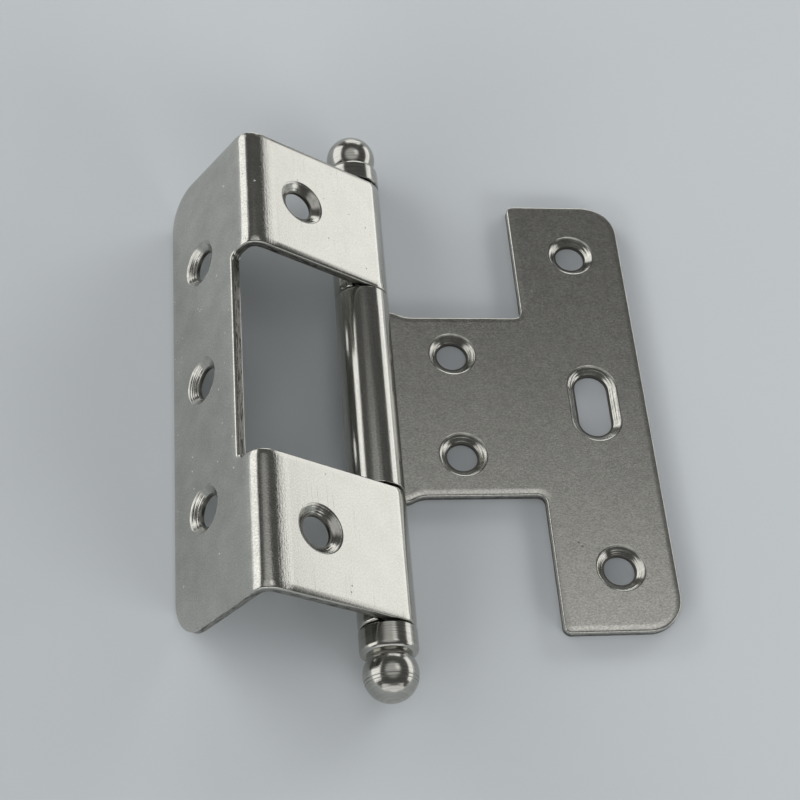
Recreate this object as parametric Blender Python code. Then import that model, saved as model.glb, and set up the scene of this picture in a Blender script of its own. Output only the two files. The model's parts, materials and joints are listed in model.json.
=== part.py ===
"""Ball-tip wrap-around cabinet hinge, lying open on a flat surface.

Each leaf is modelled as it is made: a flat blank is stamped and countersunk, and its edge is then rolled
into knuckles round the pin. The door leaf is also folded, so that it wraps the edge and the back of a door.
The pin lies along Y. The frame leaf lies flat with its back at Z = 0, and reaches towards +X.
Lengths are in millimetres up to the last step of each mesh, which turns them into metres.
"""

import math

import bmesh
import bpy
from mathutils import Matrix, Vector

MM = 0.001

# Sheet of both leaves
SHEET = 1.5
SHOW_ROUND = 0.4
BACK_ROUND = 0.12

# Pin and barrel
PIN_DIAMETER = 4.7
PIN_CLEARANCE = 0.3
KNUCKLE_GAP = 0.3
SEAM_GAP = 0.3
LEAF_HEIGHT = 76.2
MIDDLE_KNUCKLE = 34.0

# Screw holes: a countersink, a narrow step at its foot and a straight land
HOLE_MOUTH = 7.2
HOLE_LAND = 4.7
LAND_DEPTH = 0.5
STEP_WIDTH = 0.22
MOUTH_ROUND = 0.12

# Frame leaf, a T: a neck beside the barrel and a bar across its end
NECK_HEIGHT = 31.8
NECK_FLARE = 3.0
FLARE_END = 4.5
BAR_NEAR_EDGE = 25.8
BAR_FAR_EDGE = 43.9
BAR_CORNER = 5.5
BAR_INNER_CORNER = 1.2
NOTCH_FILLET = 1.2
NECK_HOLES_OUT = 14.0
NECK_HOLES_PITCH = 17.9
BAR_HOLES_OUT = 35.5
BAR_HOLES_PITCH = 56.2
SLOT_LENGTH = 13.3
SLOT_MOUTH = 7.7

# Door leaf: two arms along the door's edge and a wing on its back
ARM_LENGTH = 23.8
FOLD_TURN = math.radians(92)
FOLD_RADIUS = 2.42
FOLD_EASE = 0.8
WING_WIDTH = 22.4
WING_CORNER = 6.0
WING_NOTCH = 5.2
WING_NOTCH_FILLET = 1.0
ARM_HOLES_OUT = 13.8
WING_HOLES_OUT = 14.1
WING_HOLES_PITCH = 21.0
WING_HOLES = 3

# Ball tips, turned
COLLAR_DIAMETER = 8.3
COLLAR_LENGTH = 2.75
COLLAR_CHAMFER = 0.15
SHOULDER_LENGTH = 0.95
NECK_DIAMETER = 6.2
BALL_DIAMETER = 7.85
BALL_CENTRE = 6.3
TIP_BORE_DEPTH = 4.0
TIP_FIT = 0.3
PIN_CHAMFER = 0.4

# Fineness of the curves
ROLL_STEPS = 36
FOLD_STEPS = 12
FOLD_SUMS = 40
HOLE_SIDES = 32
TURNED_SIDES = 40
CORNER_STEPS = 6
FILLET_STEPS = 3
FLARE_STEPS = 5
BALL_STEPS = 14
SHOULDER_STEPS = 4
SHOW_ROUND_STEPS = 2
BACK_ROUND_STEPS = 1
WELD = 0.001
SHARP_ANGLE = math.radians(30)


def fold_turn(distance):
    """The turn reached this far into the fold, which is tight at its middle and eases off to both ends."""
    share = distance / FOLD_LENGTH
    return FOLD_TURN * (share - FOLD_EASE * math.sin(2 * math.pi * share) / (2 * math.pi))


def fold_middle(distance):
    """How far the middle of the sheet has gone along the arm and across it, this far into the fold."""
    along = across = 0.0
    for index in range(FOLD_SUMS):
        turn = fold_turn(distance * (index + 0.5) / FOLD_SUMS)
        along += math.cos(turn) * distance / FOLD_SUMS
        across += math.sin(turn) * distance / FOLD_SUMS
    return along, across


# Worked out from the sizes above
BARREL_RADIUS = PIN_DIAMETER / 2 + PIN_CLEARANCE + SHEET
HALF_HEIGHT = LEAF_HEIGHT / 2
DOOR_NOTCH = MIDDLE_KNUCKLE + 2 * KNUCKLE_GAP
ARM_MIDDLE = (DOOR_NOTCH / 2 + HALF_HEIGHT) / 2
ROLL_TURN = 1.5 * math.pi + math.asin((BARREL_RADIUS - SHEET - SEAM_GAP) / BARREL_RADIUS)
ROLL_FIBRE = BARREL_RADIUS - SHEET / 2
ROLL_LENGTH = ROLL_TURN * ROLL_FIBRE
FOLD_LENGTH = FOLD_TURN * (1 + FOLD_EASE) * (FOLD_RADIUS - SHEET / 2)
HALF_ALONG, HALF_ACROSS = fold_middle(FOLD_LENGTH / 2)
FOLD_SETBACK = HALF_ALONG + (HALF_ACROSS + SHEET / 2) * math.tan(FOLD_TURN / 2)
FOLD_START = ARM_LENGTH - FOLD_SETBACK
WING_START = FOLD_START + FOLD_LENGTH - FOLD_SETBACK
BALL_RADIUS = BALL_DIAMETER / 2

# The origin is on the back of the frame leaf, midway between the neck's holes and the bar's
PIN_X = -(NECK_HOLES_OUT + BAR_HOLES_OUT) / 2
PIN_Z = BARREL_RADIUS


def arc(centre_s, centre_y, radius, from_degrees, to_degrees, steps):
    """Points of an arc, both ends included."""
    points = []
    for step in range(steps + 1):
        angle = math.radians(from_degrees + (to_degrees - from_degrees) * step / steps)
        points.append((centre_s + radius * math.cos(angle), centre_y + radius * math.sin(angle)))
    return points


def mirrored(upper_half):
    """A closed outline from its upper half, whose points run from -s round to +s."""
    return upper_half + [(s, -y) for s, y in reversed(upper_half)]


def frame_outline():
    """The T's flat outline, with the stretch that becomes the middle knuckle at negative s."""
    neck = NECK_HEIGHT / 2
    knuckle = MIDDLE_KNUCKLE / 2
    flare = []
    for step in range(FLARE_STEPS + 1):
        share = step / FLARE_STEPS
        blend = (1 + math.cos(math.pi * share)) / 2
        flare.append((FLARE_END + NECK_FLARE * share, neck + (knuckle - neck) * blend))
    fillet = arc(BAR_NEAR_EDGE - NOTCH_FILLET, neck + NOTCH_FILLET, NOTCH_FILLET, 270, 360, FILLET_STEPS)
    inner_s, inner_y = BAR_NEAR_EDGE + BAR_INNER_CORNER, HALF_HEIGHT - BAR_INNER_CORNER
    inner = arc(inner_s, inner_y, BAR_INNER_CORNER, 180, 90, FILLET_STEPS)
    outer = arc(BAR_FAR_EDGE - BAR_CORNER, HALF_HEIGHT - BAR_CORNER, BAR_CORNER, 90, 0, CORNER_STEPS)
    return mirrored([(-ROLL_LENGTH, knuckle)] + flare + fillet + inner + outer)


def door_outline():
    """The wing and its two arms, with the stretches that become the outer knuckles at negative s."""
    notch = DOOR_NOTCH / 2
    end = WING_START + WING_WIDTH
    corner = arc(end - WING_CORNER, HALF_HEIGHT - WING_CORNER, WING_CORNER, 90, 0, CORNER_STEPS)
    bottom = WING_START + WING_NOTCH
    fillet = arc(
        bottom - WING_NOTCH_FILLET, notch - WING_NOTCH_FILLET, WING_NOTCH_FILLET, 0, 90, FILLET_STEPS
    )
    return mirrored(fillet + [(-ROLL_LENGTH, notch), (-ROLL_LENGTH, HALF_HEIGHT)] + corner)


def flat_blank(outline, show_is_top):
    """A plate SHEET thick with this outline, its edges rounded more on the show side."""
    blank = bmesh.new()
    corners = [blank.verts.new((s, y, 0)) for s, y in outline]
    blank.faces.new(corners)
    bmesh.ops.recalc_face_normals(blank, faces=blank.faces)
    extruded = bmesh.ops.extrude_face_region(blank, geom=blank.faces[:])
    raised = [item for item in extruded["geom"] if isinstance(item, bmesh.types.BMVert)]
    bmesh.ops.translate(blank, verts=raised, vec=(0, 0, SHEET))
    bmesh.ops.recalc_face_normals(blank, faces=blank.faces)
    for level, is_top in ((SHEET, True), (0, False)):
        rim = [e for e in blank.edges if all(abs(v.co.z - level) < WELD for v in e.verts)]
        width = SHOW_ROUND if is_top == show_is_top else BACK_ROUND
        segments = SHOW_ROUND_STEPS if is_top == show_is_top else BACK_ROUND_STEPS
        bmesh.ops.bevel(
            blank, geom=rim, offset=width, affect="EDGES", segments=segments, profile=0.5, material=-1
        )
    return blank


def hole_section(mouth_radius):
    """Radius and depth below the show face, from the mouth down through the back."""
    land = mouth_radius - (HOLE_MOUTH - HOLE_LAND) / 2
    foot = land + STEP_WIDTH
    return [
        (mouth_radius + MOUTH_ROUND, -SHEET),
        (mouth_radius + MOUTH_ROUND, 0),
        (mouth_radius, MOUTH_ROUND),
        (foot, SHEET - LAND_DEPTH),
        (land, SHEET - LAND_DEPTH),
        (land, 2 * SHEET),
    ]


def hole_ring(radius, straight, sides):
    """A round or slotted ring about the origin; straight is the length between a slot's two centres."""
    points = []
    for index in range(sides):
        angle = 2 * math.pi * (index + 0.5) / sides
        shift = straight / 2 if math.sin(angle) > 0 else -straight / 2
        points.append((radius * math.cos(angle), radius * math.sin(angle) + shift))
    return points


def add_hole_cutter(cutter, place, mouth, straight, show_is_top):
    """Adds the closed body that cuts one countersunk hole."""
    rings = []
    for radius, depth in hole_section(mouth / 2):
        height = SHEET - depth if show_is_top else depth
        ring = [
            cutter.verts.new((place[0] + s, place[1] + y, height))
            for s, y in hole_ring(radius, straight, HOLE_SIDES)
        ]
        rings.append(ring)
    for upper, lower in zip(rings, rings[1:]):
        for index in range(HOLE_SIDES):
            following = (index + 1) % HOLE_SIDES
            cutter.faces.new((upper[index], upper[following], lower[following], lower[index]))
    cutter.faces.new(rings[0])
    cutter.faces.new(rings[-1])


def pierced(name, blank, holes, show_is_top):
    """The blank with its holes cut, as a mesh."""
    plate_mesh = bpy.data.meshes.new(name + "_blank")
    blank.to_mesh(plate_mesh)
    blank.free()
    cutter = bmesh.new()
    for place, mouth, straight in holes:
        add_hole_cutter(cutter, place, mouth, straight, show_is_top)
    bmesh.ops.recalc_face_normals(cutter, faces=cutter.faces)
    cutter_mesh = bpy.data.meshes.new(name + "_holes")
    cutter.to_mesh(cutter_mesh)
    cutter.free()

    plate = bpy.data.objects.new(name + "_blank", plate_mesh)
    tool = bpy.data.objects.new(name + "_holes", cutter_mesh)
    tool.hide_render = True
    tool.display_type = "WIRE"
    for item in (plate, tool):
        bpy.context.scene.collection.objects.link(item)
    cut = plate.modifiers.new("holes", "BOOLEAN")
    cut.operation = "DIFFERENCE"
    cut.solver = "EXACT"
    cut.object = tool
    bpy.context.view_layer.update()
    evaluated = plate.evaluated_get(bpy.context.evaluated_depsgraph_get())
    result = bpy.data.meshes.new_from_object(evaluated)
    for item in (plate, tool):
        bpy.data.objects.remove(item, do_unlink=True)
    return result


def formed(s, y, height, folded):
    """Where a point of the flat blank goes once the sheet is rolled and folded, about the pin's axis."""
    if s < 0:
        turn = -s / ROLL_FIBRE
        reach = BARREL_RADIUS - height
        return Vector((-reach * math.sin(turn), y, -reach * math.cos(turn)))
    if not folded or s < FOLD_START:
        return Vector((s, y, height - BARREL_RADIUS))
    folded_length = min(s - FOLD_START, FOLD_LENGTH)
    beyond = s - FOLD_START - folded_length
    turn = fold_turn(folded_length)
    along, across = fold_middle(folded_length)
    inward = height - SHEET / 2
    x = FOLD_START + along + beyond * math.cos(turn) - inward * math.sin(turn)
    z = SHEET / 2 - BARREL_RADIUS + across + beyond * math.sin(turn) + inward * math.cos(turn)
    return Vector((x, y, z))


def form_leaf(name, flat_mesh, folded):
    """Rolls the knuckles of a pierced blank and folds it where it is the door leaf."""
    sheet = bmesh.new()
    sheet.from_mesh(flat_mesh)
    bpy.data.meshes.remove(flat_mesh)
    lines = [-ROLL_LENGTH * step / ROLL_STEPS for step in range(ROLL_STEPS)]
    if folded:
        lines += [FOLD_START + FOLD_LENGTH * step / FOLD_STEPS for step in range(FOLD_STEPS + 1)]
    for line in lines:
        bmesh.ops.bisect_plane(
            sheet,
            geom=sheet.verts[:] + sheet.edges[:] + sheet.faces[:],
            dist=WELD,
            plane_co=(line, 0, 0),
            plane_no=(1, 0, 0),
        )
    for vertex in sheet.verts:
        vertex.co = formed(vertex.co.x, vertex.co.y, vertex.co.z, folded) * MM
    return finished_mesh(name, sheet)


def finished_mesh(name, shape):
    """The shape as a mesh, faces out and smooth but for its sharp edges."""
    bmesh.ops.recalc_face_normals(shape, faces=shape.faces)
    mesh = bpy.data.meshes.new(name)
    shape.to_mesh(mesh)
    shape.free()
    mesh.shade_smooth()
    mesh.set_sharp_from_angle(angle=SHARP_ANGLE)
    return mesh


def turned_mesh(name, profile):
    """A solid of revolution about Y; profile holds (radius, y) from one end of the axis to the other."""
    shape = bmesh.new()
    points = [shape.verts.new((radius * MM, y * MM, 0)) for radius, y in profile]
    edges = [shape.edges.new(pair) for pair in zip(points, points[1:])]
    bmesh.ops.spin(
        shape,
        geom=points + edges,
        cent=(0, 0, 0),
        axis=(0, 1, 0),
        angle=2 * math.pi,
        steps=TURNED_SIDES,
        use_merge=True,
        use_duplicate=False,
    )
    bmesh.ops.remove_doubles(shape, verts=shape.verts[:], dist=WELD * MM)
    return finished_mesh(name, shape)


def pin_profile():
    """A plain pin with chamfered ends, long enough to enter both tips."""
    radius = PIN_DIAMETER / 2
    end = HALF_HEIGHT + KNUCKLE_GAP + TIP_BORE_DEPTH - TIP_FIT
    return [
        (0, -end),
        (radius - PIN_CHAMFER, -end),
        (radius, -end + PIN_CHAMFER),
        (radius, end - PIN_CHAMFER),
        (radius - PIN_CHAMFER, end),
        (0, end),
    ]


def tip_profile():
    """A tip from the floor of its bore round to the far side of its ball; its seat is at y = 0."""
    bore = PIN_DIAMETER / 2 + TIP_FIT
    collar = COLLAR_DIAMETER / 2
    neck = NECK_DIAMETER / 2
    profile = [
        (0, TIP_BORE_DEPTH),
        (bore, TIP_BORE_DEPTH),
        (bore, 0),
        (collar - COLLAR_CHAMFER, 0),
        (collar, COLLAR_CHAMFER),
    ]
    for step in range(SHOULDER_STEPS + 1):
        angle = math.pi / 2 * step / SHOULDER_STEPS
        radius = neck + (collar - neck) * math.cos(angle)
        profile.append((radius, COLLAR_LENGTH + SHOULDER_LENGTH * math.sin(angle)))
    start = math.asin(neck / BALL_RADIUS)
    for step in range(BALL_STEPS + 1):
        angle = start + (math.pi - start) * step / BALL_STEPS
        radius = BALL_RADIUS * math.sin(angle) if step < BALL_STEPS else 0
        profile.append((radius, BALL_CENTRE - BALL_RADIUS * math.cos(angle)))
    return profile


def resting_opening():
    """The angle from closed at which the wing's free edge is level with the frame leaf's back."""
    edge = formed(WING_START + WING_WIDTH, 0, SHEET, True)
    reach = math.hypot(edge.x, edge.z)
    return math.pi + math.asin(BARREL_RADIUS / reach) - math.atan2(edge.z, edge.x)


def steel(name, colour, roughness):
    """Bright nickel plate over steel."""
    material = bpy.data.materials.new(name)
    material.use_nodes = True
    shader = material.node_tree.nodes["Principled BSDF"]
    shader.inputs["Base Color"].default_value = (*colour, 1)
    shader.inputs["Metallic"].default_value = 1
    shader.inputs["Roughness"].default_value = roughness
    return material


def add_piece(name, mesh, opening=0.0, shift=0.0, reversed_end=False):
    """Places a piece on the pin's axis, turned about it by the opening and moved along it by the shift."""
    piece = bpy.data.objects.new(name, mesh)
    bpy.context.scene.collection.objects.link(piece)
    piece.location = (PIN_X * MM, shift * MM, PIN_Z * MM)
    piece.rotation_euler = (math.pi if reversed_end else 0, -opening, 0)
    return piece


def main():
    for item in list(bpy.data.objects):
        bpy.data.objects.remove(item, do_unlink=True)

    frame_holes = [((BAR_HOLES_OUT, 0), SLOT_MOUTH, SLOT_LENGTH - SLOT_MOUTH)]
    for side in (1, -1):
        frame_holes.append(((NECK_HOLES_OUT, side * NECK_HOLES_PITCH / 2), HOLE_MOUTH, 0))
        frame_holes.append(((BAR_HOLES_OUT, side * BAR_HOLES_PITCH / 2), HOLE_MOUTH, 0))
    door_holes = [((ARM_HOLES_OUT, side * ARM_MIDDLE), HOLE_MOUTH, 0) for side in (1, -1)]
    for index in range(WING_HOLES):
        along = (index - (WING_HOLES - 1) / 2) * WING_HOLES_PITCH
        door_holes.append(((WING_START + WING_HOLES_OUT, along), HOLE_MOUTH, 0))

    frame_flat = pierced("frame_leaf", flat_blank(frame_outline(), True), frame_holes, True)
    door_flat = pierced("door_leaf", flat_blank(door_outline(), False), door_holes, False)
    tip_mesh = turned_mesh("ball_tip", tip_profile())
    seat = HALF_HEIGHT + KNUCKLE_GAP

    frame_leaf = add_piece("frame_leaf", form_leaf("frame_leaf", frame_flat, False))
    door_leaf = add_piece("door_leaf", form_leaf("door_leaf", door_flat, True), opening=resting_opening())
    hinge_pin = add_piece("hinge_pin", turned_mesh("hinge_pin", pin_profile()))
    upper_tip = add_piece("upper_ball_tip", tip_mesh, shift=seat)
    lower_tip = add_piece("lower_ball_tip", tip_mesh.copy(), shift=-seat, reversed_end=True)

    frame_leaf.data.materials.append(steel("satin_nickel_leaf", (0.27, 0.27, 0.25), 0.35))
    door_leaf.data.materials.append(steel("bright_nickel_leaf", (0.55, 0.54, 0.51), 0.2))
    hinge_pin.data.materials.append(steel("pin_steel", (0.4, 0.4, 0.39), 0.3))
    upper_tip.data.materials.append(steel("upper_tip_nickel", (0.5, 0.49, 0.46), 0.1))
    lower_tip.data.materials.append(steel("lower_tip_nickel", (0.5, 0.49, 0.46), 0.1))


main()
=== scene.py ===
"""Looks for the ball-tip wrap-around cabinet hinge.

The two leaves are formed again from flat blanks, more finely than the frame's solids, so that bright nickel
reflects without facets. Each point keeps its place in the flat blank, and the finishes follow that.
"""

import json
import math

import bmesh
import bpy
from mathutils import Matrix, Vector

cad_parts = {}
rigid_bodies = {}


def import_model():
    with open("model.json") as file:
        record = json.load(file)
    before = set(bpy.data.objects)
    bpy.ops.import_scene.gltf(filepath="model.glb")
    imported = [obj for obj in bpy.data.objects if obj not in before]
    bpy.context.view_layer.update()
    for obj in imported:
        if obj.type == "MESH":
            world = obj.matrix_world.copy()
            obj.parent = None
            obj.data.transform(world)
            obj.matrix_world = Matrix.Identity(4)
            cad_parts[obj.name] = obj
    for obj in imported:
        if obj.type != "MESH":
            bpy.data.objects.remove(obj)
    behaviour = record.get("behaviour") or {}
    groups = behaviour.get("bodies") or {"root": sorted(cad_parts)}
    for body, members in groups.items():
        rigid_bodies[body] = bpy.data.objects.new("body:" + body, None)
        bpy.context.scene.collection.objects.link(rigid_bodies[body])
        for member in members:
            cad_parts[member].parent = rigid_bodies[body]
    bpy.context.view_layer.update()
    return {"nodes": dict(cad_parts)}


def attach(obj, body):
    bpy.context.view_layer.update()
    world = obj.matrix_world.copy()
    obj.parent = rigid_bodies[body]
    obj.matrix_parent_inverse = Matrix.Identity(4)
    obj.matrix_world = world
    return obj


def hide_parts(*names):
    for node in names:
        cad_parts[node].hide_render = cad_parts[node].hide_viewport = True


MM = 0.001

# Sheet of both leaves, as in the part's source
SHEET = 1.5
SHOW_ROUND = 0.4
BACK_ROUND = 0.12

# Pin and barrel
PIN_DIAMETER = 4.7
PIN_CLEARANCE = 0.3
KNUCKLE_GAP = 0.3
SEAM_GAP = 0.3
LEAF_HEIGHT = 76.2
MIDDLE_KNUCKLE = 34.0

# Screw holes
HOLE_MOUTH = 7.2
HOLE_LAND = 4.7
LAND_DEPTH = 0.5
STEP_WIDTH = 0.22

# Frame leaf
NECK_HEIGHT = 31.8
NECK_FLARE = 3.0
FLARE_END = 4.5
BAR_NEAR_EDGE = 25.8
BAR_FAR_EDGE = 43.9
BAR_CORNER = 5.5
BAR_INNER_CORNER = 1.2
NOTCH_FILLET = 1.2
NECK_HOLES_OUT = 14.0
NECK_HOLES_PITCH = 17.9
BAR_HOLES_OUT = 35.5
BAR_HOLES_PITCH = 56.2
SLOT_LENGTH = 13.3
SLOT_MOUTH = 7.7

# Door leaf
ARM_LENGTH = 23.8
FOLD_TURN = math.radians(92)
FOLD_RADIUS = 2.42
FOLD_EASE = 0.8
WING_WIDTH = 22.4
WING_CORNER = 6.0
WING_NOTCH = 5.2
WING_NOTCH_FILLET = 1.0
ARM_HOLES_OUT = 13.8
WING_HOLES_OUT = 14.1
WING_HOLES_PITCH = 21.0
WING_HOLES = 3

# Ball tips
COLLAR_DIAMETER = 8.3
COLLAR_LENGTH = 2.75
COLLAR_CHAMFER = 0.15
SHOULDER_LENGTH = 0.95
NECK_DIAMETER = 6.2
BALL_DIAMETER = 7.85
BALL_CENTRE = 6.3
TIP_BORE_DEPTH = 4.0
TIP_FIT = 0.3

# Worked out from the sizes above
BARREL_RADIUS = PIN_DIAMETER / 2 + PIN_CLEARANCE + SHEET
HALF_HEIGHT = LEAF_HEIGHT / 2
DOOR_NOTCH = MIDDLE_KNUCKLE + 2 * KNUCKLE_GAP
ARM_MIDDLE = (DOOR_NOTCH / 2 + HALF_HEIGHT) / 2
ROLL_TURN = 1.5 * math.pi + math.asin((BARREL_RADIUS - SHEET - SEAM_GAP) / BARREL_RADIUS)
ROLL_FIBRE = BARREL_RADIUS - SHEET / 2
ROLL_LENGTH = ROLL_TURN * ROLL_FIBRE
BALL_RADIUS = BALL_DIAMETER / 2
PIN_AXIS = Vector((-(NECK_HOLES_OUT + BAR_HOLES_OUT) / 2, 0, BARREL_RADIUS))

# The punch also drew the show face down a little along every edge: width and fall of its two slopes
DIE_ROLL = ((0.35, 0.05), (0.4, 0.02))

# The countersink's mouth has a narrow pressed lip: how far out and how deep each of its rings lies
MOUTH_LIP = ((0.2, 0.0), (0.16, 0.006), (-0.02, 0.072), (-0.05, 0.09))

# How far the cutter of a hole reaches past both faces, and how nearly the flare's two curves meet
CUT_PAST = SHEET
FLARE_MEETING = 0.99

# Pitch of the rings that the lathe left on the tips
RING_PITCH = 0.35

# Fineness, well past what the camera shows
ROLL_STEPS = 96
FOLD_STEPS = 36
FOLD_SUMS = 40
HOLE_SIDES = 96
TURNED_SIDES = 144
BALL_STEPS = 56
CORNER_STEPS = 12
SHOW_ROUND_STEPS = 5
BACK_ROUND_STEPS = 2
WELD = 0.001
SHARP_ANGLE = math.radians(40)

# Camera, worked out from the photograph with the sizes above held, in millimetres and degrees
CAMERA_PLACE = (-55.478, -124.865, 209.925)
CAMERA_TURN = (31.329, -7.093, -4.476)
CAMERA_LENS = 72.667
CAMERA_SENSOR = 36
CAMERA_NEAR = 10
CAMERA_FAR = 50000

# Studio, in metres and degrees. Each panel has its azimuth, round from +Y towards +X, its elevation, half its
# width and height as angles, its brightness, and the share of each side over which its light falls off.
LAMP_DISTANCE = 3.0
LAMP_AIM = Vector((-0.02, 0, 0.01))
LAMP_EDGE = 0.1
PATCH_EDGE = 0.45
PANELS = (
    ("panel_right", 78, 11.4, 40, 11.8, 1.36, LAMP_EDGE),
    ("panel_left", -76, 20.5, 44, 21.5, 1.45, LAMP_EDGE),
    ("panel_back", 9, 13, 20, 14, 1.6, LAMP_EDGE),
    ("panel_front", 180, 15, 42, 15, 0.9, LAMP_EDGE),
    ("ceiling_patch_right", 60, 67, 17, 13, 0.8, PATCH_EDGE),
)
FLOOR_LIGHT_TURNS = (45, 135, 225, 315)
FLOOR_LIGHT = (12.5, 20, 5, 16.5)
FLOOR_REACH = 1.6

# The air is lighter overhead, and again towards the horizon: two heights, and its strengths at them
OVERHEAD = (0.8, 0.94, 0.1, 0.6)
HORIZON = (0.12, 0.05, 0.0, 0.62)


def fold_turn(distance):
    """The turn reached this far into the fold, which is tight at its middle and eases off to both ends."""
    share = distance / FOLD_LENGTH
    return FOLD_TURN * (share - FOLD_EASE * math.sin(2 * math.pi * share) / (2 * math.pi))


def fold_middle(distance):
    """How far the middle of the sheet has gone along the arm and across it, this far into the fold."""
    along = across = 0.0
    for index in range(FOLD_SUMS):
        turn = fold_turn(distance * (index + 0.5) / FOLD_SUMS)
        along += math.cos(turn) * distance / FOLD_SUMS
        across += math.sin(turn) * distance / FOLD_SUMS
    return along, across


# Where the fold starts along the arm, and where the wing starts beyond its corner
FOLD_LENGTH = FOLD_TURN * (1 + FOLD_EASE) * (FOLD_RADIUS - SHEET / 2)
HALF_ALONG, HALF_ACROSS = fold_middle(FOLD_LENGTH / 2)
FOLD_SETBACK = HALF_ALONG + (HALF_ACROSS + SHEET / 2) * math.tan(FOLD_TURN / 2)
FOLD_START = ARM_LENGTH - FOLD_SETBACK
WING_START = FOLD_START + FOLD_LENGTH - FOLD_SETBACK


def linear(hex_colour):
    """Linear colour with alpha, from an sRGB hex value."""
    values = []
    for start in (1, 3, 5):
        value = int(hex_colour[start : start + 2], 16) / 255
        values.append(value / 12.92 if value <= 0.04045 else ((value + 0.055) / 1.055) ** 2.4)
    return (*values, 1.0)


# Shapes of the flat blanks


def mirrored(upper_half):
    """All corners of an outline from those of its upper half; each is s, y and the size of its rounding."""
    return upper_half + [(s, -y, rounding) for s, y, rounding in reversed(upper_half)]


def frame_corners():
    """Corners of the T's flat outline, with the stretch that becomes the middle knuckle at negative s."""
    neck = NECK_HEIGHT / 2
    knuckle = MIDDLE_KNUCKLE / 2
    slope = NECK_FLARE / math.pi
    middle = FLARE_END + NECK_FLARE / 2
    easing = math.hypot(slope, (knuckle - neck) / 2) * FLARE_MEETING
    return mirrored(
        [
            (-ROLL_LENGTH, knuckle, 0),
            (middle - slope, knuckle, easing),
            (middle + slope, neck, easing),
            (BAR_NEAR_EDGE, neck, NOTCH_FILLET),
            (BAR_NEAR_EDGE, HALF_HEIGHT, BAR_INNER_CORNER),
            (BAR_FAR_EDGE, HALF_HEIGHT, BAR_CORNER),
        ]
    )


def door_corners():
    """Corners of the wing and its arms, with the stretches that become the outer knuckles at negative s."""
    notch = DOOR_NOTCH / 2
    return mirrored(
        [
            (WING_START + WING_NOTCH, notch, WING_NOTCH_FILLET),
            (-ROLL_LENGTH, notch, 0),
            (-ROLL_LENGTH, HALF_HEIGHT, 0),
            (WING_START + WING_WIDTH, HALF_HEIGHT, WING_CORNER),
        ]
    )


def round_corner(shape, point, rounding, steps):
    """Rounds one corner of an outline, starting this far from it on both sides."""
    bmesh.ops.bevel(
        shape, geom=[point], offset=rounding, affect="VERTICES", segments=steps, profile=0.5, material=-1
    )


def flat_blank(corners, show_is_top):
    """A plate with these corners, its edges rounded and drawn down more on the show side."""
    fall = sum(depth for width, depth in DIE_ROLL)
    bottom, top = (0, SHEET - fall) if show_is_top else (fall, SHEET)
    blank = bmesh.new()
    points = [blank.verts.new((s, y, bottom)) for s, y, rounding in corners]
    blank.faces.new(points)
    for point, (s, y, rounding) in zip(points, corners):
        if rounding:
            round_corner(blank, point, rounding, CORNER_STEPS)
    bmesh.ops.recalc_face_normals(blank, faces=blank.faces)
    extruded = bmesh.ops.extrude_face_region(blank, geom=blank.faces[:])
    lifted = [item for item in extruded["geom"] if isinstance(item, bmesh.types.BMVert)]
    bmesh.ops.translate(blank, verts=lifted, vec=(0, 0, top - bottom))
    bmesh.ops.recalc_face_normals(blank, faces=blank.faces)
    for level, is_top in ((top, True), (bottom, False)):
        rim = [e for e in blank.edges if all(abs(v.co.z - level) < WELD for v in e.verts)]
        width = SHOW_ROUND if is_top == show_is_top else BACK_ROUND
        segments = SHOW_ROUND_STEPS if is_top == show_is_top else BACK_ROUND_STEPS
        bmesh.ops.bevel(
            blank, geom=rim, offset=width, affect="EDGES", segments=segments, profile=0.5, material=-1
        )
    show_level = top if show_is_top else bottom
    show = [f for f in blank.faces if all(abs(v.co.z - show_level) < WELD for v in f.verts)]
    for width, depth in DIE_ROLL:
        bmesh.ops.inset_region(blank, faces=show, thickness=width, depth=depth, use_even_offset=True)
    return blank


def hole_section(mouth_radius):
    """Radius and depth below the show face, from the lip of the mouth down through the back."""
    land = mouth_radius - (HOLE_MOUTH - HOLE_LAND) / 2
    return [
        (mouth_radius + MOUTH_LIP[0][0], -CUT_PAST),
        *((mouth_radius + outward, depth) for outward, depth in MOUTH_LIP),
        (land + STEP_WIDTH, SHEET - LAND_DEPTH),
        (land, SHEET - LAND_DEPTH),
        (land, SHEET + CUT_PAST),
    ]


def add_hole_cutter(cutter, place, mouth, straight, show_is_top):
    """Adds the closed body that cuts one countersunk hole; straight is how far apart a slot's centres are."""
    points = []
    for radius, depth in hole_section(mouth / 2):
        height = SHEET - depth if show_is_top else depth
        points.append(cutter.verts.new((place[0] + radius, place[1] + straight / 2, height)))
    section = points + [cutter.edges.new(pair) for pair in zip(points, points[1:])]
    for end in (1, -1):
        centre = (place[0], place[1] + end * straight / 2, 0)
        half_round = bmesh.ops.spin(
            cutter, geom=section, cent=centre, axis=(0, 0, 1), angle=math.pi, steps=HOLE_SIDES // 2
        )
        section = half_round["geom_last"]
        if straight:
            side = bmesh.ops.spin(
                cutter, geom=section, cent=centre, axis=(0, 0, 1), dvec=(0, -end * straight, 0), steps=1
            )
            section = side["geom_last"]
    bmesh.ops.remove_doubles(cutter, verts=cutter.verts[:], dist=WELD)
    bmesh.ops.edgeloop_fill(cutter, edges=[e for e in cutter.edges if e.is_boundary])


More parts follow.
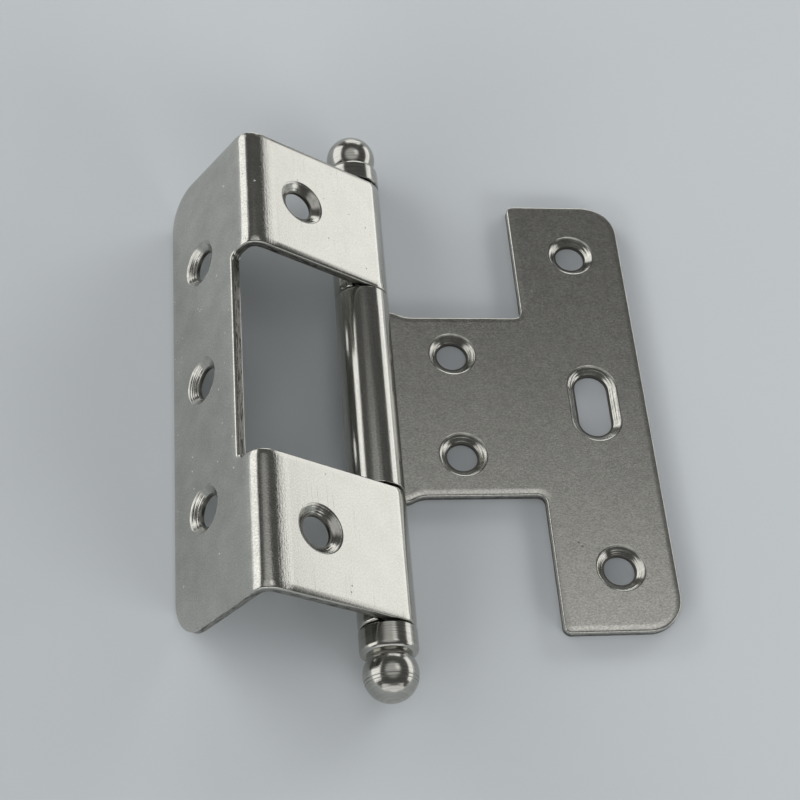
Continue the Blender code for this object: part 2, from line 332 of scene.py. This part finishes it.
def pierced(name, blank, holes, show_is_top, face_finish, hole_finish):
    """The blank with its holes cut; the walls of the holes take their own finish."""
    plate_mesh = bpy.data.meshes.new(name + "_blank")
    blank.to_mesh(plate_mesh)
    blank.free()
    cutter = bmesh.new()
    for place, mouth, straight in holes:
        add_hole_cutter(cutter, place, mouth, straight, show_is_top)
    bmesh.ops.recalc_face_normals(cutter, faces=cutter.faces)
    cutter_mesh = bpy.data.meshes.new(name + "_holes")
    cutter.to_mesh(cutter_mesh)
    cutter.free()
    plate_mesh.materials.append(face_finish)
    plate_mesh.materials.append(hole_finish)
    cutter_mesh.materials.append(hole_finish)

    plate = bpy.data.objects.new(name + "_blank", plate_mesh)
    tool = bpy.data.objects.new(name + "_holes", cutter_mesh)
    for item in (plate, tool):
        bpy.context.scene.collection.objects.link(item)
    cut = plate.modifiers.new("holes", "BOOLEAN")
    cut.operation = "DIFFERENCE"
    cut.solver = "EXACT"
    cut.object = tool
    bpy.context.view_layer.update()
    evaluated = plate.evaluated_get(bpy.context.evaluated_depsgraph_get())
    result = bpy.data.meshes.new_from_object(evaluated)
    for item in (plate, tool):
        bpy.data.objects.remove(item, do_unlink=True)
    return result


def formed(s, y, height, folded):
    """Where a point of the flat blank goes once the sheet is rolled and folded, about the pin's axis."""
    if s < 0:
        turn = -s / ROLL_FIBRE
        reach = BARREL_RADIUS - height
        return Vector((-reach * math.sin(turn), y, -reach * math.cos(turn)))
    if not folded or s < FOLD_START:
        return Vector((s, y, height - BARREL_RADIUS))
    folded_length = min(s - FOLD_START, FOLD_LENGTH)
    beyond = s - FOLD_START - folded_length
    turn = fold_turn(folded_length)
    along, across = fold_middle(folded_length)
    inward = height - SHEET / 2
    x = FOLD_START + along + beyond * math.cos(turn) - inward * math.sin(turn)
    z = SHEET / 2 - BARREL_RADIUS + across + beyond * math.sin(turn) + inward * math.cos(turn)
    return Vector((x, y, z))


def resting_opening():
    """The angle from closed at which the wing's free edge is level with the frame leaf's back."""
    edge = formed(WING_START + WING_WIDTH, 0, SHEET, True)
    reach = math.hypot(edge.x, edge.z)
    return math.pi + math.asin(BARREL_RADIUS / reach) - math.atan2(edge.z, edge.x)


def formed_leaf(name, flat_mesh, folded, opening):
    """Rolls and folds a pierced blank, keeps each point's flat place, and turns the leaf about the pin."""
    sheet = bmesh.new()
    sheet.from_mesh(flat_mesh)
    finishes = list(flat_mesh.materials)
    bpy.data.meshes.remove(flat_mesh)
    lines = [-ROLL_LENGTH * step / ROLL_STEPS for step in range(ROLL_STEPS)]
    if folded:
        lines += [FOLD_START + FOLD_LENGTH * step / FOLD_STEPS for step in range(FOLD_STEPS + 1)]
    for line in lines:
        bmesh.ops.bisect_plane(
            sheet,
            geom=sheet.verts[:] + sheet.edges[:] + sheet.faces[:],
            dist=WELD,
            plane_co=(line, 0, 0),
            plane_no=(1, 0, 0),
        )
    flat_place = sheet.verts.layers.float_vector.new("flat_place")
    turned = Matrix.Rotation(-opening, 3, "Y")
    for vertex in sheet.verts:
        s, y, height = vertex.co
        vertex[flat_place] = vertex.co
        vertex.co = (turned @ formed(s, y, height, folded) + PIN_AXIS) * MM
    bmesh.ops.recalc_face_normals(sheet, faces=sheet.faces)
    return finished_piece(name, sheet, finishes)


def turned_tip(name, seat, reversed_end, finish):
    """A ball tip turned about the pin's axis, from the floor of its bore round to the end of its ball."""
    bore = PIN_DIAMETER / 2 + TIP_FIT
    collar = COLLAR_DIAMETER / 2
    neck = NECK_DIAMETER / 2
    shoulder = COLLAR_LENGTH + SHOULDER_LENGTH
    ball_start = math.asin(neck / BALL_RADIUS)
    corners = [
        (0, TIP_BORE_DEPTH, 0, 1),
        (bore, TIP_BORE_DEPTH, 0, 1),
        (bore, 0, 0, 1),
        (collar, 0, COLLAR_CHAMFER, 1),
        (collar, shoulder, SHOULDER_LENGTH, CORNER_STEPS),
        (neck, shoulder, 0, 1),
        (neck, BALL_CENTRE - BALL_RADIUS * math.cos(ball_start), 0, 1),
    ]
    shape = bmesh.new()
    points = [shape.verts.new((radius, y, 0)) for radius, y, rounding, steps in corners]
    for pair in zip(points, points[1:]):
        shape.edges.new(pair)
    bmesh.ops.spin(
        shape,
        geom=[points[-1]],
        cent=(0, BALL_CENTRE, 0),
        axis=(0, 0, 1),
        angle=math.pi - ball_start,
        steps=BALL_STEPS,
    )
    for point, (radius, y, rounding, steps) in zip(points, corners):
        if rounding:
            round_corner(shape, point, rounding, steps)
    bmesh.ops.spin(
        shape,
        geom=shape.verts[:] + shape.edges[:],
        cent=(0, 0, 0),
        axis=(0, 1, 0),
        angle=2 * math.pi,
        steps=TURNED_SIDES,
        use_merge=True,
    )
    bmesh.ops.remove_doubles(shape, verts=shape.verts[:], dist=WELD)
    flat_place = shape.verts.layers.float_vector.new("flat_place")
    end = Matrix.Rotation(math.pi if reversed_end else 0, 3, "X")
    for vertex in shape.verts:
        vertex[flat_place] = vertex.co
        vertex.co = (end @ vertex.co + PIN_AXIS + Vector((0, seat, 0))) * MM
    bmesh.ops.recalc_face_normals(shape, faces=shape.faces)
    return finished_piece(name, shape, [finish])


def finished_piece(name, shape, finishes):
    """The shape as an object at the origin, with its flats kept flat beside the rounded edges."""
    mesh = bpy.data.meshes.new(name)
    shape.to_mesh(mesh)
    shape.free()
    for finish in finishes:
        mesh.materials.append(finish)
    mesh.shade_smooth()
    mesh.set_sharp_from_angle(angle=SHARP_ANGLE)
    draft = bpy.data.objects.new(name + "_draft", mesh)
    bpy.context.scene.collection.objects.link(draft)
    weighted = draft.modifiers.new("flats", "WEIGHTED_NORMAL")
    weighted.keep_sharp = True
    bpy.context.view_layer.update()
    evaluated = draft.evaluated_get(bpy.context.evaluated_depsgraph_get())
    result = bpy.data.meshes.new_from_object(evaluated)
    bpy.data.objects.remove(draft, do_unlink=True)
    piece = bpy.data.objects.new(name, result)
    bpy.context.scene.collection.objects.link(piece)
    return piece


# Finishes

SMOOTH = {"interpolation_type": "SMOOTHSTEP"}

# A Mix node that mixes colours, and the numbers of its sockets
COLOURS = {"data_type": "RGBA"}
FACTOR, FIRST, SECOND, MIXED = 0, 6, 7, 2


def add_node(tree, kind, values=(), output=0, **settings):
    """Adds a node with its settings and links, and gives back one of its outputs.

    Values go to the inputs by name, or in their order. A socket is linked, and a hex value is a colour.
    """
    node = tree.nodes.new("ShaderNode" + kind)
    for name, setting in settings.items():
        setattr(node, name, setting)
    for key, value in values.items() if isinstance(values, dict) else enumerate(values):
        if isinstance(value, bpy.types.NodeSocket):
            tree.links.new(value, node.inputs[key])
        else:
            node.inputs[key].default_value = linear(value) if isinstance(value, str) else value
    return node.outputs[output]


def new_finish(name, colour, roughness):
    """A metal finish with its plain colour and roughness: material, node tree and shader."""
    finish = bpy.data.materials.new(name)
    finish.use_nodes = True
    tree = finish.node_tree
    shader = tree.nodes["Principled BSDF"]
    shader.inputs["Base Color"].default_value = linear(colour)
    shader.inputs["Metallic"].default_value = 1
    shader.inputs["Roughness"].default_value = roughness
    return finish, tree, shader


def join_finish(tree, shader, colour, roughness, normal=None):
    """Gives the shader a patterned colour and roughness, and a relief where there is one."""
    for name, value in (("Base Color", colour), ("Roughness", roughness), ("Normal", normal)):
        if value is not None:
            tree.links.new(value, shader.inputs[name])


def place_in_blank(tree):
    """Where the point lay in the flat blank, or on the tip before it was seated, in millimetres."""
    return add_node(tree, "Attribute", output="Vector", attribute_name="flat_place")


def uneven(tree, place, size, turn=0.0, detail=2.0, roughness=0.5):
    """Cloudy values about 0.5 in patches of this size, in millimetres on the flat blank."""
    values = {"Vector": place, "Rotation": (0, 0, turn), "Scale": size}
    patch = add_node(tree, "Mapping", values, vector_type="TEXTURE")
    return add_node(tree, "TexNoise", {"Vector": patch, "Scale": 1, "Detail": detail, "Roughness": roughness})


def scattered(tree, place, spacing, radius, chance_size, chance):
    """Soft round dots of this radius in millimetres, left out where a cloudy pattern is under the chance."""
    cells = add_node(tree, "TexVoronoi", {"Vector": place, "Scale": 1 / spacing, "Randomness": 1})
    dots = add_node(tree, "MapRange", (cells, radius / spacing, radius / spacing / 2), **SMOOTH)
    clouds = uneven(tree, place, (chance_size,) * 3, detail=3)
    kept = add_node(tree, "Math", (clouds, chance), operation="GREATER_THAN")
    return add_node(tree, "Math", (dots, kept), operation="MULTIPLY")


def depth_below_show(tree, place, show_is_top):
    """Depth of the point below the show face of its sheet, in millimetres."""
    height = add_node(tree, "SeparateXYZ", {"Vector": place}, "Z")
    return add_node(tree, "Math", (SHEET, height), operation="SUBTRACT") if show_is_top else height


# How far below the show face the sheared wall fades in, and how far it has faded out above the back
WALL_STARTS = (SHOW_ROUND - 0.04, SHOW_ROUND + 0.06)
WALL_ENDS = (SHEET - 0.08, SHEET - 0.16)


def finish_plate(tree, shader, place, show_is_top, torn_edge_and_shade, face_colour, face_roughness, face_normal):
    """Joins a face's finish with that of the sheared edge: a shiny band, then a torn zone with drag lines.

    The torn edge is given as the least depth of its start, and as its dark and light colours: the rough
    torn steel's own darker tone, darkened further as painted shade on the edge walls.
    """
    torn_depth, dark, light = torn_edge_and_shade
    depth = depth_below_show(tree, place, show_is_top)
    below_round = add_node(tree, "MapRange", (depth, *WALL_STARTS), **SMOOTH)
    above_back = add_node(tree, "MapRange", (depth, *WALL_ENDS), **SMOOTH)
    wall = add_node(tree, "Math", (below_round, above_back), operation="MULTIPLY")
    ragged = uneven(tree, place, (0.9, 0.9, 0.9))
    torn_from = add_node(tree, "Math", (ragged, 0.5, torn_depth), operation="MULTIPLY_ADD")
    torn_and_shaded = add_node(tree, "Math", (depth, torn_from), operation="GREATER_THAN")
    torn_and_shaded = add_node(tree, "Math", (wall, torn_and_shaded), operation="MULTIPLY")

    drag_lines = uneven(tree, place, (1.8, 1.8, 0.2), detail=3, roughness=0.7)
    shade = add_node(tree, "MapRange", (drag_lines, 0.36, 0.54), **SMOOTH)
    # The torn zone's colours are the torn steel's own tone, darkened further as painted shade on the edge
    # walls
    torn_and_shaded_colour = add_node(tree, "Mix", {FACTOR: shade, FIRST: dark, SECOND: light}, MIXED, **COLOURS)
    colour = add_node(tree, "Mix", {FACTOR: torn_and_shaded, FIRST: face_colour, SECOND: torn_and_shaded_colour}, MIXED, **COLOURS)
    wall_roughness = add_node(tree, "Math", (torn_and_shaded, 0.2, 0.2), operation="MULTIPLY_ADD")
    change = add_node(tree, "Math", (wall_roughness, face_roughness), operation="SUBTRACT")
    roughness = add_node(tree, "Math", (wall, change, face_roughness), operation="MULTIPLY_ADD")
    amount = add_node(tree, "Math", (torn_and_shaded, 0.8, 0.2), operation="MULTIPLY_ADD")
    relief = add_node(tree, "Math", (amount, drag_lines), operation="MULTIPLY")
    relief = add_node(tree, "Math", (wall, relief), operation="MULTIPLY")
    normal = add_node(tree, "Bump", {"Height": relief, "Distance": 0.03 * MM, "Normal": face_normal})
    join_finish(tree, shader, colour, roughness, normal)


def satin_nickel():
    """Nickel plate over rolled sheet that was never polished: the sheet's fine grain blurs what it mirrors.

    The real grain is about 0.1 mm, and is drawn at 0.2 to 0.3 mm so that it shows. Cloudy patches of
    2 mm differ a little in gloss, faint streaks follow the sheet's rolling, and there are a few dark
    pits. The barrel was burnished by the die that rolled it, which left lines along it.
    """
    finish, tree, shader = new_finish("satin_nickel_plate", "#BDBCB5", 0.22)
    place = place_in_blank(tree)
    grain = uneven(tree, place, (0.28, 0.21, 1), detail=3, roughness=0.65)
    clouds = uneven(tree, place, (2, 2, 2), detail=3)
    streaks = uneven(tree, place, (7, 0.4, 1), detail=3, roughness=0.6)
    broad = uneven(tree, place, (11, 11, 11))
    die_lines = uneven(tree, place, (0.25, 8, 1), detail=3, roughness=0.65)
    pits = scattered(tree, place, 2.4, 0.2, 2.9, 0.56)
    along = add_node(tree, "SeparateXYZ", {"Vector": place}, "X")
    rolled = add_node(tree, "MapRange", (along, 0.6, -0.8), **SMOOTH)
    flat = add_node(tree, "Math", (1, rolled), operation="SUBTRACT")

    gloss = add_node(tree, "Math", (clouds, 0.05, 0.19), operation="MULTIPLY_ADD")
    gloss = add_node(tree, "Math", (streaks, 0.03, gloss), operation="MULTIPLY_ADD")
    gloss = add_node(tree, "Math", (broad, 0.05, gloss), operation="MULTIPLY_ADD")
    burnished = add_node(tree, "Math", (streaks, 0.08, 0.1), operation="MULTIPLY_ADD")
    change = add_node(tree, "Math", (burnished, gloss), operation="SUBTRACT")
    roughness = add_node(tree, "Math", (rolled, change, gloss), operation="MULTIPLY_ADD")

    pebbles = add_node(tree, "Math", (grain, 0.9), operation="MULTIPLY")
    pebbles = add_node(tree, "Math", (clouds, 0.1, pebbles), operation="MULTIPLY_ADD")
    change = add_node(tree, "Math", (die_lines, pebbles), operation="SUBTRACT")
    part_lined = add_node(tree, "Math", (rolled, 0.4), operation="MULTIPLY")
    shade = add_node(tree, "Math", (part_lined, change, pebbles), operation="MULTIPLY_ADD")
    shade = add_node(tree, "MapRange", (shade, 0.3, 0.7), **SMOOTH)
    colour = add_node(tree, "Mix", {FACTOR: shade, FIRST: "#ABAAA4", SECOND: "#CDCCC5"}, MIXED, **COLOURS)
    pitted = add_node(tree, "Math", (pits, 0.7), operation="MULTIPLY")
    colour = add_node(tree, "Mix", {FACTOR: pitted, FIRST: colour, SECOND: "#6E6D69"}, MIXED, **COLOURS)

    amount = add_node(tree, "Math", (rolled, -0.4, 1.0), operation="MULTIPLY_ADD")
    fine = add_node(tree, "Math", (grain, amount), operation="MULTIPLY")
    lines = add_node(tree, "Math", (die_lines, rolled), operation="MULTIPLY")
    cloudy = add_node(tree, "Math", (clouds, flat), operation="MULTIPLY")
    unpitted = add_node(tree, "Math", (1, pits), operation="SUBTRACT")
    normal = add_node(tree, "Bump", {"Height": fine, "Distance": 0.01 * MM})
    normal = add_node(tree, "Bump", {"Height": lines, "Distance": 0.008 * MM, "Normal": normal})
    normal = add_node(tree, "Bump", {"Height": cloudy, "Distance": 0.01 * MM, "Normal": normal})
    normal = add_node(tree, "Bump", {"Height": unpitted, "Distance": 0.03 * MM, "Normal": normal})
    # The frame leaf's torn edge colours: the torn steel's own tone, darkened further as painted shade
    finish_plate(tree, shader, place, True, (0.45, "#454440", "#8B8A85"), colour, roughness, normal)
    return finish


def bright_nickel():
    """Bright nickel plate over smooth sheet: it mirrors the lamps almost sharply.

    The sheet is a little wavy over 8 mm. Hair scratches under 0.2 mm wide run mostly along the hinge,
    with a few across. There are dark dust specks, and the wing has small dents of 0.3 mm, each with a
    painted highlight of near white. The fold has fine lines along it where the press stretched the plate,
    and it is crinkled where the arm runs in.
    """
    finish, tree, shader = new_finish("bright_nickel_plate", "#BFBEB7", 0.14)
    place = place_in_blank(tree)
    waves = uneven(tree, place, (8, 8, 8), detail=1)
    grain = uneven(tree, place, (0.25, 0.25, 0.25), roughness=0.6)
    haze = uneven(tree, place, (4, 4, 4), detail=4, roughness=0.6)
    along = uneven(tree, place, (0.18, 10, 1), turn=-0.03, roughness=0.6)
    across = uneven(tree, place, (6, 0.17, 1), turn=-0.5, roughness=0.6)
    along = add_node(tree, "MapRange", (along, 0.6, 0.74), **SMOOTH)
    across = add_node(tree, "MapRange", (across, 0.72, 0.84), **SMOOTH)
    scratches = add_node(tree, "Math", (along, across), operation="MAXIMUM")
    dust = scattered(tree, place, 1.8, 0.16, 3.3, 0.52)

    reach = add_node(tree, "SeparateXYZ", {"Vector": place}, "X")
    on_wing = add_node(tree, "MapRange", (reach, WING_START - 1, WING_START + 1), **SMOOTH)
    # Small dents on the wing, used for their relief and for painted glints
    dents_and_glints = scattered(tree, place, 1.7, 0.17, 5.0, 0.5)
    dents_and_glints = add_node(tree, "Math", (dents_and_glints, on_wing), operation="MULTIPLY")
    off_middle = add_node(tree, "Math", (reach, FOLD_START + FOLD_LENGTH / 2), operation="SUBTRACT")
    off_middle = add_node(tree, "Math", (off_middle,), operation="ABSOLUTE")
    stretched = add_node(tree, "MapRange", (off_middle, FOLD_LENGTH * 0.75, FOLD_LENGTH * 0.4), **SMOOTH)
    press_lines = uneven(tree, place, (0.24, 20, 1), detail=3, roughness=0.65)
    press_lines = add_node(tree, "Math", (press_lines, stretched), operation="MULTIPLY")
    off_start = add_node(tree, "Math", (reach, FOLD_START + 0.5), operation="SUBTRACT")
    off_start = add_node(tree, "Math", (off_start,), operation="ABSOLUTE")
    at_start = add_node(tree, "MapRange", (off_start, 2.0, 0.6), **SMOOTH)
    crinkles = uneven(tree, place, (0.3, 0.6, 1), detail=3, roughness=0.7)
    crinkles = add_node(tree, "Math", (crinkles, at_start), operation="MULTIPLY")

    roughness = add_node(tree, "Math", (haze, 0.1, 0.08), operation="MULTIPLY_ADD")
    roughness = add_node(tree, "Math", (stretched, 0.04, roughness), operation="MULTIPLY_ADD")
    roughness = add_node(tree, "Math", (scratches, 0.1, roughness), operation="MULTIPLY_ADD")
    roughness = add_node(tree, "Math", (dust, 0.3, roughness), operation="MULTIPLY_ADD")

    shade = add_node(tree, "Math", (grain, 0.6), operation="MULTIPLY")
    shade = add_node(tree, "Math", (haze, 0.4, shade), operation="MULTIPLY_ADD")
    shade = add_node(tree, "MapRange", (shade, 0.3, 0.7), **SMOOTH)
    amount = add_node(tree, "Math", (on_wing, 0.5, 0.55), operation="MULTIPLY_ADD")
    shade = add_node(tree, "Math", (shade, 0.5), operation="SUBTRACT")
    shade = add_node(tree, "Math", (shade, amount, 0.5), operation="MULTIPLY_ADD")
    colour = add_node(tree, "Mix", {FACTOR: shade, FIRST: "#B0AFA8", SECOND: "#CCCBC4"}, MIXED, **COLOURS)
    dusty = add_node(tree, "Math", (dust, 0.55), operation="MULTIPLY")
    colour = add_node(tree, "Mix", {FACTOR: dusty, FIRST: colour, SECOND: "#7E7D78"}, MIXED, **COLOURS)
    # Painted highlight: each dent on the wing is painted near white as a glint
    painted_glints = add_node(tree, "Math", (dents_and_glints, 0.6), operation="MULTIPLY")
    colour = add_node(tree, "Mix", {FACTOR: painted_glints, FIRST: colour, SECOND: "#F4F3EC"}, MIXED, **COLOURS)

    surface = add_node(tree, "Math", (scratches, -0.25, grain), operation="MULTIPLY_ADD")
    normal = add_node(tree, "Bump", {"Height": waves, "Distance": 0.008 * MM})
    normal = add_node(tree, "Bump", {"Height": press_lines, "Distance": 0.016 * MM, "Normal": normal})
    normal = add_node(tree, "Bump", {"Height": crinkles, "Distance": 0.022 * MM, "Normal": normal})
    normal = add_node(tree, "Bump", {"Height": dents_and_glints, "Distance": 0.04 * MM, "Normal": normal})
    normal = add_node(tree, "Bump", {"Height": surface, "Distance": 0.003 * MM, "Normal": normal})
    # The door leaf's torn edge colours: the torn steel's own tone, darkened further as painted shade
    finish_plate(tree, shader, place, False, (0.2, "#3F3E3B", "#96958F"), colour, roughness, normal)
    return finish


def countersunk_nickel(name, show_is_top):
    """Plate over a countersink's turned cone: bright, with uneven rings left by the tool.

    The narrow step and the straight land below it were punched and are rougher; their darker colour is
    painted shade down in the hole.
    """
    finish, tree, shader = new_finish(name, "#BDBCB5", 0.22)
    place = place_in_blank(tree)
    depth = depth_below_show(tree, place, show_is_top)
    rings = uneven(tree, place, (12, 12, 0.2), detail=1.5, roughness=0.5)
    patches = uneven(tree, place, (1.4, 1.4, 1.4))
    step = SHEET - LAND_DEPTH
    # Painted shade: the step and the land down in the hole are painted darker
    shaded_land = add_node(tree, "MapRange", (depth, step - 0.05, step - 0.01), **SMOOTH)
    on_cone = add_node(tree, "MapRange", (depth, 0.1, 0.14), **SMOOTH)
    roughness = add_node(tree, "Math", (rings, 0.2, 0.08), operation="MULTIPLY_ADD")
    roughness = add_node(tree, "Math", (shaded_land, 0.2, roughness), operation="MULTIPLY_ADD")
    shade = add_node(tree, "MapRange", (patches, 0.35, 0.65), **SMOOTH)
    colour = add_node(tree, "Mix", {FACTOR: shade, FIRST: "#AAA9A2", SECOND: "#C3C2BB"}, MIXED, **COLOURS)
    colour = add_node(tree, "Mix", {FACTOR: shaded_land, FIRST: colour, SECOND: "#676661"}, MIXED, **COLOURS)
    relief = add_node(tree, "Math", (rings, on_cone), operation="MULTIPLY")
    normal = add_node(tree, "Bump", {"Height": relief, "Distance": 0.05 * MM})
    join_finish(tree, shader, colour, roughness, normal)
    return finish


def turned_nickel():
    """Polished plate over turned bar: mirror-like, with faint rings, and two dark lines cut near the end."""
    finish, tree, shader = new_finish("turned_nickel_plate", "#B5B4AD", 0.1)
    place = place_in_blank(tree)
    along = add_node(tree, "SeparateXYZ", {"Vector": place}, "Y")
    waver = uneven(tree, place, (2, 2, 2))
    fine = uneven(tree, place, (5, 0.14, 5), roughness=0.6)
    turns = add_node(tree, "Math", (along, 2 * math.pi / RING_PITCH), operation="MULTIPLY")
    turns = add_node(tree, "Math", (waver, 2.0, turns), operation="MULTIPLY_ADD")
    rings = add_node(tree, "Math", (turns,), operation="SINE")
    first = add_node(tree, "Math", (along, BALL_CENTRE + 1.0, 0.07), operation="COMPARE")
    second = add_node(tree, "Math", (along, BALL_CENTRE + 1.45, 0.06), operation="COMPARE")
    lines = add_node(tree, "Math", (first, second), operation="ADD")

    roughness = add_node(tree, "Math", (fine, 0.16, 0.09), operation="MULTIPLY_ADD")
    roughness = add_node(tree, "Math", (lines, 0.2, roughness), operation="MULTIPLY_ADD")
    shade = add_node(tree, "MapRange", (fine, 0.3, 0.7), **SMOOTH)
    colour = add_node(tree, "Mix", {FACTOR: shade, FIRST: "#ABAAA4", SECOND: "#BDBCB5"}, MIXED, **COLOURS)
    lined = add_node(tree, "Math", (lines, 0.6), operation="MULTIPLY")
    colour = add_node(tree, "Mix", {FACTOR: lined, FIRST: colour, SECOND: "#5C5B58"}, MIXED, **COLOURS)
    last_cut = (along, BALL_CENTRE + 1.8, BALL_CENTRE + 2.6, 0.25, 0.6)
    amount = add_node(tree, "MapRange", last_cut, **SMOOTH)
    height = add_node(tree, "Math", (rings, amount, fine), operation="MULTIPLY_ADD")
    normal = add_node(tree, "Bump", {"Height": height, "Distance": 0.004 * MM})
    join_finish(tree, shader, colour, roughness, normal)
    return finish


def drawn_steel():
    """Drawn steel wire of the pin, seen only between the knuckles: grey, with marks along its length."""
    finish, tree, shader = new_finish("drawn_steel_pin", "#9A9A96", 0.35)
    in_metres = add_node(tree, "TexCoord", output="Object")
    marks = uneven(tree, in_metres, (0.17 * MM, 7 * MM, 0.17 * MM), detail=3, roughness=0.6)
    roughness = add_node(tree, "Math", (marks, 0.3, 0.2), operation="MULTIPLY_ADD")
    colour = add_node(tree, "Mix", {FACTOR: marks, FIRST: "#858581", SECOND: "#A8A8A3"}, MIXED, **COLOURS)
    join_finish(tree, shader, colour, roughness)
    return finish


# Studio


def add_softbox(name, azimuth, elevation, half_width, half_height, brightness, edge, mirrored_in=True):
    """A lamp panel that faces the hinge, with soft edges; it can be kept out of reflections."""
    width = 2 * LAMP_DISTANCE * math.tan(math.radians(half_width))
    height = 2 * LAMP_DISTANCE * math.tan(math.radians(half_height))
    data = bpy.data.lights.new(name, "AREA")
    data.shape = "RECTANGLE"
    data.size = width
    data.size_y = height
    data.energy = brightness * math.pi * width * height
    data.use_nodes = True
    tree = data.node_tree
    across = add_node(tree, "NewGeometry", output="Parametric")
    fades = []
    for axis in ("X", "Y"):
        share = add_node(tree, "SeparateXYZ", {"Vector": across}, axis)
        inset = add_node(tree, "Math", (share, 0.5), operation="PINGPONG")
        fades.append(add_node(tree, "MapRange", (inset, 0, edge), **SMOOTH))
    strength = add_node(tree, "Math", fades, operation="MULTIPLY")
    tree.links.new(strength, tree.nodes["Emission"].inputs["Strength"])
    lamp = bpy.data.objects.new(name, data)
    bpy.context.scene.collection.objects.link(lamp)
    turn, rise = math.radians(azimuth), math.radians(elevation)
    outward = Vector((math.sin(turn) * math.cos(rise), math.cos(turn) * math.cos(rise), math.sin(rise)))
    lamp.location = outward * LAMP_DISTANCE + LAMP_AIM
    lamp.rotation_euler = outward.to_track_quat("Z", "Y").to_euler()
    lamp.visible_camera = False
    lamp.visible_glossy = mirrored_in


def add_studio():
    """A pale floor, lamp panels round the hinge, lights for the floor alone, and the air's own light."""
    floor_shape = bmesh.new()
    bmesh.ops.create_grid(floor_shape, x_segments=1, y_segments=1, size=FLOOR_REACH)
    mesh = bpy.data.meshes.new("studio_floor")
    floor_shape.to_mesh(mesh)
    floor_shape.free()
    floor = bpy.data.objects.new("studio_floor", mesh)
    bpy.context.scene.collection.objects.link(floor)
    finish, _, shader = new_finish("pale_paper_floor", "#C6CBCE", 0.9)
    shader.inputs["Metallic"].default_value = 0
    shader.inputs["Specular IOR Level"].default_value = 0.1
    mesh.materials.append(finish)

    for panel in PANELS:
        add_softbox(*panel)
    for azimuth in FLOOR_LIGHT_TURNS:
        add_softbox("floor_light_%d" % azimuth, azimuth, *FLOOR_LIGHT, LAMP_EDGE, mirrored_in=False)

    world = bpy.data.worlds.new("studio_air")
    world.use_nodes = True
    tree = world.node_tree
    direction = add_node(tree, "TexCoord", output="Generated")
    height = add_node(tree, "SeparateXYZ", {"Vector": direction}, "Z")
    overhead = add_node(tree, "MapRange", (height, *OVERHEAD), **SMOOTH)
    horizon = add_node(tree, "MapRange", (height, *HORIZON), **SMOOTH)
    strength = add_node(tree, "Math", (overhead, horizon), operation="MAXIMUM")
    tree.nodes["Background"].inputs["Color"].default_value = (1, 1, 1, 1)
    tree.links.new(strength, tree.nodes["Background"].inputs["Strength"])
    bpy.context.scene.world = world


def add_camera():
    """The photograph's own view."""
    data = bpy.data.cameras.new("camera")
    data.lens = CAMERA_LENS
    data.sensor_width = CAMERA_SENSOR
    data.clip_start = CAMERA_NEAR * MM
    data.clip_end = CAMERA_FAR * MM
    camera = bpy.data.objects.new("camera", data)
    camera.location = [each * MM for each in CAMERA_PLACE]
    camera.rotation_euler = [math.radians(each) for each in CAMERA_TURN]
    bpy.context.scene.collection.objects.link(camera)
    bpy.context.scene.camera = camera


for item in list(bpy.data.objects):
    bpy.data.objects.remove(item, do_unlink=True)

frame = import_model()

frame_holes = [((BAR_HOLES_OUT, 0), SLOT_MOUTH, SLOT_LENGTH - SLOT_MOUTH)]
for side in (1, -1):
    frame_holes.append(((NECK_HOLES_OUT, side * NECK_HOLES_PITCH / 2), HOLE_MOUTH, 0))
    frame_holes.append(((BAR_HOLES_OUT, side * BAR_HOLES_PITCH / 2), HOLE_MOUTH, 0))
door_holes = [((ARM_HOLES_OUT, side * ARM_MIDDLE), HOLE_MOUTH, 0) for side in (1, -1)]
for index in range(WING_HOLES):
    along = (index - (WING_HOLES - 1) / 2) * WING_HOLES_PITCH
    door_holes.append(((WING_START + WING_HOLES_OUT, along), HOLE_MOUTH, 0))

frame_flat = pierced(
    "frame_leaf",
    flat_blank(frame_corners(), True),
    frame_holes,
    True,
    satin_nickel(),
    countersunk_nickel("countersunk_nickel_frame", True),
)
frame_leaf = formed_leaf("frame_leaf_plated", frame_flat, False, 0.0)
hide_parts("frame_leaf")
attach(frame_leaf, "frame_side")

door_flat = pierced(
    "door_leaf",
    flat_blank(door_corners(), False),
    door_holes,
    False,
    bright_nickel(),
    countersunk_nickel("countersunk_nickel_door", False),
)
door_leaf = formed_leaf("door_leaf_plated", door_flat, True, resting_opening())
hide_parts("door_leaf")
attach(door_leaf, "door_side")

tip_finish = turned_nickel()
seat = HALF_HEIGHT + KNUCKLE_GAP
upper_tip = turned_tip("upper_ball_tip_plated", seat, False, tip_finish)
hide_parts("upper_ball_tip")
lower_tip = turned_tip("lower_ball_tip_plated", -seat, True, tip_finish)
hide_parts("lower_ball_tip")
for tip in (upper_tip, lower_tip):
    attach(tip, "frame_side")

pin = frame["nodes"]["hinge_pin"]
pin.material_slots[0].material = drawn_steel()

add_studio()
add_camera()
bpy.context.scene.view_settings.view_transform = "Standard"
